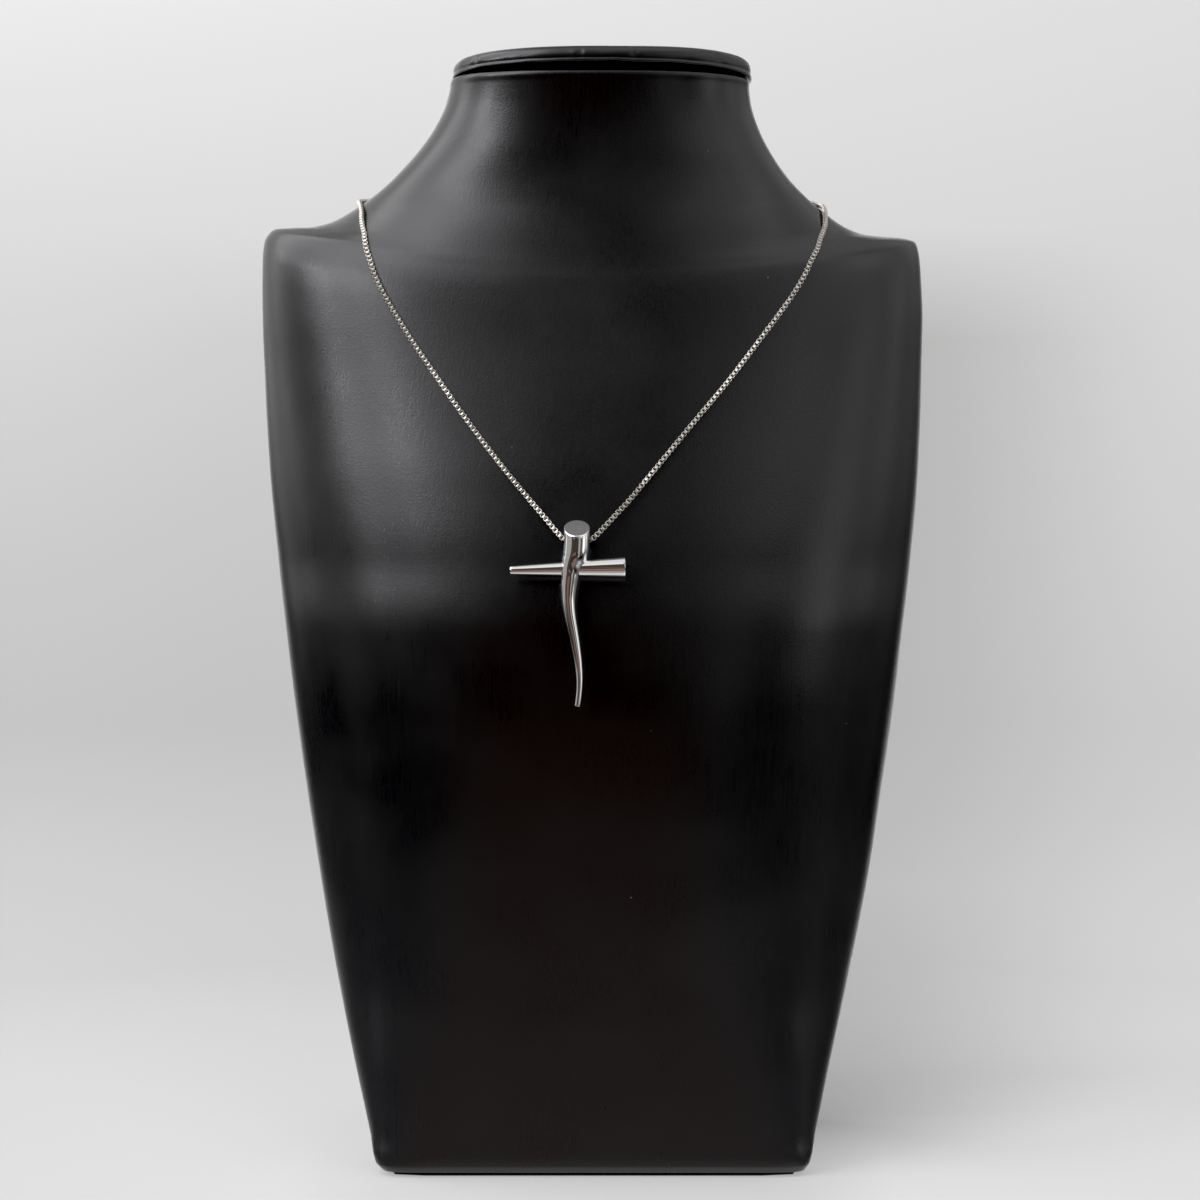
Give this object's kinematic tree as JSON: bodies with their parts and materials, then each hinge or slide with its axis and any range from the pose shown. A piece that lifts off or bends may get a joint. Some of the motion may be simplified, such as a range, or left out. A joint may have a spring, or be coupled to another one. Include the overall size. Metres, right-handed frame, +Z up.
{
  "type": "cross necklace on neck bust",
  "caption": "Silver cross of two tapered horns on a fine box chain, worn by a black padded neck bust with a cap and a base board.",
  "frame": {"origin": "centre of the box's footprint, on the ground under the bust", "axes": "+Z up, -Y to the front of the bust, +X to the viewer's right"},
  "size_m": [0.1854, 0.1148, 0.3042],
  "materials": {
    "bust_leather": "satin",
    "cap_leather": "satin",
    "board": "matte",
    "polished_silver": "polished",
    "chain_silver": "polished"
  },
  "bodies": {
    "root": {"bust_body": "bust_leather", "bust_cap": "cap_leather", "base_board": "board", "cross_pendant": "polished_silver", "box_chain": "chain_silver", "clasp": "polished_silver"}
  },
  "joints": []
}
